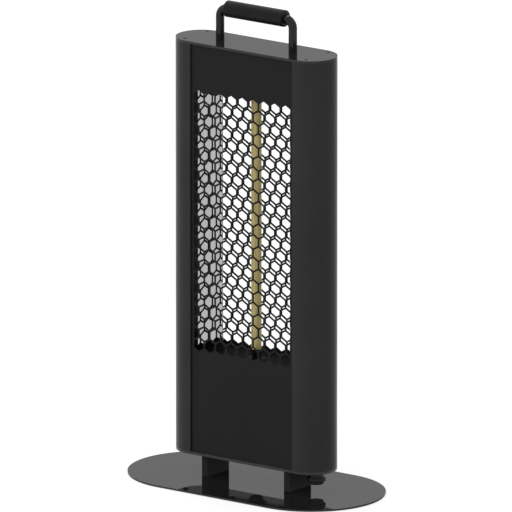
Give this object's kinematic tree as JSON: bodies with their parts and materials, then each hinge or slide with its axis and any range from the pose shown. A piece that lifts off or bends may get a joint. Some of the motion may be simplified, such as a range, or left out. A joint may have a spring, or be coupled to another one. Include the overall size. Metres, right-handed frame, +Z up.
{
  "type": "under-table patio heater",
  "caption": "Slim free-standing heater column with honeycomb grilles front and back, an upright lamp, a carrying handle and a flat round-ended base.",
  "frame": {"origin": "on the floor, at the middle of the footprint", "axes": "+Z up along the column, +X along the base's long side towards the end with the switch, -Y out of the front grille"},
  "size_m": [0.3282, 0.172, 0.5666],
  "materials": {
    "gloss_black": "smooth black lacquer that mirrors what is near it",
    "underside_black": "black lacquer, thicker on the underside",
    "satin_black": "satin black paint",
    "profile_black": "fine black powder coat on an extruded profile",
    "panel_black": "fine black powder coat on punched sheet",
    "handle_black": "satin black paint on a bent rod",
    "grip_plastic": "matte black sleeve",
    "chamber_black": "matt heat-proof black",
    "plain_steel": "plain steel",
    "bright_aluminium": "polished sheet",
    "gold_quartz": "quartz with a gold coat, clear at its two ends",
    "element_wire": "dark wound wire",
    "dark_ceramic": "dark unglazed ceramic",
    "device_plastic": "pale moulded plastic",
    "fitting_plastic": "black moulded plastic",
    "button_plastic": "black moulded plastic, smooth end",
    "foot_rubber": "black rubber"
  },
  "bodies": {
    "heater": {"base_plate": "gloss_black", "base_feet": "foot_rubber", "right_leg": "satin_black", "left_leg": "satin_black", "bottom_plate": "underside_black", "right_side_profile": "profile_black", "left_side_profile": "profile_black", "front_panel": "panel_black", "rear_panel": "panel_black", "top_cap": "gloss_black", "tie_bolts": "gloss_black", "handle_bar": "handle_black", "handle_grip": "grip_plastic", "right_reflector": "bright_aluminium", "left_reflector": "bright_aluminium", "lower_bulkhead": "chamber_black", "upper_bulkhead": "chamber_black", "lamp_tube": "gold_quartz", "lamp_element": "element_wire", "lower_lamp_plug": "dark_ceramic", "upper_lamp_plug": "dark_ceramic", "lower_lamp_holder": "dark_ceramic", "upper_lamp_holder": "dark_ceramic", "terminal_block": "device_plastic", "tip_over_switch": "device_plastic", "thermal_cutout": "plain_steel", "switch_body": "fitting_plastic", "switch_nut": "plain_steel", "gland_body": "fitting_plastic", "gland_locknut": "fitting_plastic"},
    "button": {"switch_button": "button_plastic"}
  },
  "joints": [
    {"name": "button_press", "type": "slide", "parent": "heater", "child": "button", "axis": [0, 0, 1], "range_m": [0, 0.0018], "stiffness_N_per_m": 800}
  ]
}
